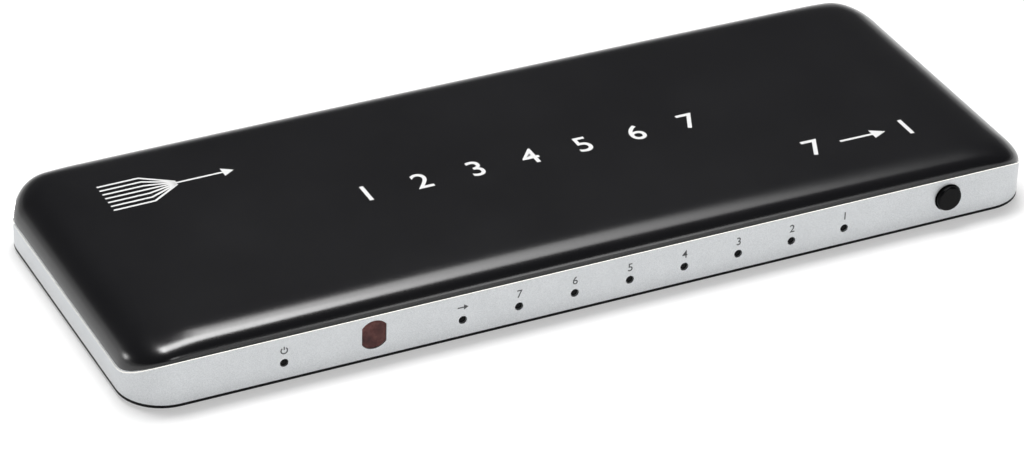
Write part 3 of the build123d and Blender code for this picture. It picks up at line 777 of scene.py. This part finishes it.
# %% Rear marks
inlet_low, inlet_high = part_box("inlet_body")
inlet_x = (inlet_low.x + inlet_high.x) / 2
sockets = [f"socket_shell_input_{i + 1}" for i in range(input_count)] + ["socket_shell_output"]
socket_x = [sum((corner.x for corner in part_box(name)), 0) / 2 for name in sockets]
rear_mark_z = 3.0 * mm
rear_tall = 1.75 * mm
sign_x = -inlet_x
sign_reach = 1.9 * mm
dot_radius = 0.3 * mm
dot_corners = 12
sign_mouth = 40
rear_drawings = [figures(str(i + 1), -socket_x[i], rear_mark_z, rear_tall) for i in range(input_count)]
rear_drawings += arrow(-socket_x[input_count], rear_mark_z, arrow_long, thin_line)
rear_drawings.append(ribbon(arc(sign_x, rear_mark_z, sign_radius, sign_mouth, 360 - sign_mouth), thin_line))
rear_drawings.append(patch(arc(sign_x, rear_mark_z, dot_radius, 0, 360 - 360 / dot_corners, dot_corners - 1)))
for start, end in ((dot_radius, sign_reach), (-sign_reach, -sign_radius)):
    rear_drawings.append(ribbon([(sign_x + start, rear_mark_z), (sign_x + end, rear_mark_z)], thin_line))
ink("rear_marks", rear_face, rear_drawings, grey_ink)

# %% [markdown]
# ## The studio
# Product shots use a sweep: paper that runs flat under the object and curves up behind it,
# so no horizon shows. It is white where the camera or a reflection sees it, through Light
# Path, while the light it throws back on the box stays that of pale paper. The wall at its
# edge is low, because gloss would show a tall white wall as a veil over the black cover.

# %% The sweep
floor_radius = 3.4
floor_rings = 6
sweep_curve = 0.4
curve_rings = 8
sweep_height = 0.7
sweep_sides = 96
up_to_white = 0.44


def sweep_paper():
    paint = Paint("sweep_paper")
    fibre = paint.noise(20 * mm, 2.0)
    path = paint.node("ShaderNodeLightPath", {}, {})
    seen = path["Is Camera Ray"] + path["Is Glossy Ray"] + path["Is Transmission Ray"]
    paper = paint.mix(fibre, (0.54, 0.54, 0.54), (0.56, 0.56, 0.56))
    return paint.done(Base_Color=paper, Roughness=0.9, Emission_Color=(1.0, 1.0, 1.0),
                      Emission_Strength=seen * up_to_white)


def sweep():
    """A round floor whose edge curves up and ends in a low wall."""
    profile = [(floor_radius * i / floor_rings, 0) for i in range(1, floor_rings + 1)]
    for i in range(1, curve_rings + 1):
        turn = math.radians(90 * i / curve_rings)
        profile.append((floor_radius + sweep_curve * math.sin(turn), sweep_curve * (1 - math.cos(turn))))
    profile.append((floor_radius + sweep_curve, sweep_height))
    paper = bmesh.new()
    angles = [2 * math.pi * i / sweep_sides for i in range(sweep_sides)]
    rings = [[paper.verts.new((radius * math.cos(a), radius * math.sin(a), z)) for a in angles]
             for radius, z in profile]
    centre = paper.verts.new((0, 0, 0))
    for i in range(sweep_sides):
        j = (i + 1) % sweep_sides
        paper.faces.new((centre, rings[0][i], rings[0][j]))
        for inner, outer in zip(rings, rings[1:]):
            paper.faces.new((inner[i], outer[i], outer[j], inner[j]))
    for face in paper.faces:
        face.smooth = True
    floor = made_object("sweep", paper, sweep_paper())
    print("sweep", len(floor.data.polygons), "faces")


sweep()

# %% [markdown]
# ## Lamps
# Gloss is drawn by what it reflects. The long soft streak on the cover's front edge is a row
# of softboxes overhead that grow dimmer from left to right, like one long cloth with its
# lamp at the left end. Each is given by its edges and by how bright its face is, because
# that is what the streak shows. A low softbox and a fill light the front of the band. A
# small one far to the left puts the bright spot on the front left corner.

# %% A softbox
def softbox(name, centre, size_x, size_y, watts, target=(0, 0, 0)):
    light = bpy.data.lights.new(name, "AREA")
    light.shape = "RECTANGLE"
    light.size = size_x
    light.size_y = size_y
    light.energy = watts
    lamp = bpy.data.objects.new(name, light)
    lamp.location = centre
    lamp.rotation_mode = "QUATERNION"
    lamp.rotation_quaternion = (Vector(target) - Vector(centre)).to_track_quat("-Z", "Y")
    lamp.visible_camera = False
    bpy.context.scene.collection.objects.link(lamp)


# %% [markdown]
# ## Where the lamps stand
# Places and sizes are in metres from the middle of the box. The room's own grey keeps the
# flat top of the cover from going quite black.

# %% The lamps in their places
lamp_height = 1.0


def overhead(name, x0, x1, y0, y1, brightness):
    """A softbox that faces straight down, given by its edges and how bright its face is."""
    place = ((x0 + x1) / 2, (y0 + y1) / 2, lamp_height)
    watts = brightness * math.pi * (x1 - x0) * (y1 - y0)
    softbox(name, place, x1 - x0, y1 - y0, watts, (place[0], place[1], 0))


overhead("streak_start", -0.38, -0.22, 0.07, 0.40, 20.0)
overhead("streak_softbox", -0.22, 0.30, 0.07, 0.40, 14.5)
overhead("streak_back", 0.20, 0.30, 0.40, 0.64, 10.5)
overhead("streak_far", 0.20, 0.345, 0.64, 0.86, 5.0)
overhead("streak_fade", 0.30, 0.43, 0.07, 0.75, 5.0)
overhead("streak_tail", 0.43, 0.58, 0.07, 0.80, 2.9)
softbox("low_softbox", (0.62, -1.50, 0.31), 0.30, 0.56, 2.0)
softbox("front_fill", (-0.05, -1.55, 0.78), 0.60, 0.50, 3.6)
softbox("left_softbox", (-1.27, 0.98, 0.26), 0.20, 0.20, 1.4)
room_grey = 0.085
world = bpy.data.worlds.new("room")
bpy.context.scene.world = world
world.use_nodes = True
world.node_tree.nodes["Background"].inputs["Color"].default_value = (room_grey, room_grey, room_grey, 1)
print("lamps", len(bpy.data.lights))

# %% [markdown]
# ## The camera
# The photograph was taken from the front left and above with a long lens. The angles come
# from the straight edges of the case and the row of indicators, solved for one pinhole
# camera. Its roll is small: the camera was held nearly level.

# %% Camera
camera_place = Vector((-0.37330, -0.73668, 0.50837))
camera_azimuth = -26.692
camera_elevation = 31.850
camera_roll = 1.720
focal_pixels = 4213.9
image_width = 1024
sensor_width = 36.0

camera_data = bpy.data.cameras.new("camera")
camera_data.sensor_width = sensor_width
camera_data.lens = focal_pixels * sensor_width / image_width
camera_data.clip_start = 0.05
camera = bpy.data.objects.new("camera", camera_data)
turn, rise = math.radians(camera_azimuth), math.radians(camera_elevation)
back = Vector((math.sin(turn) * math.cos(rise), -math.cos(turn) * math.cos(rise), math.sin(rise)))
camera.rotation_mode = "QUATERNION"
camera.rotation_quaternion = ((-back).to_track_quat("-Z", "Y") @
                              Quaternion((0, 0, 1), math.radians(camera_roll)))
camera.location = camera_place
bpy.context.scene.collection.objects.link(camera)
bpy.context.scene.camera = camera
bpy.context.scene.view_settings.view_transform = "Standard"
print("lens", round(camera_data.lens, 1), "mm")
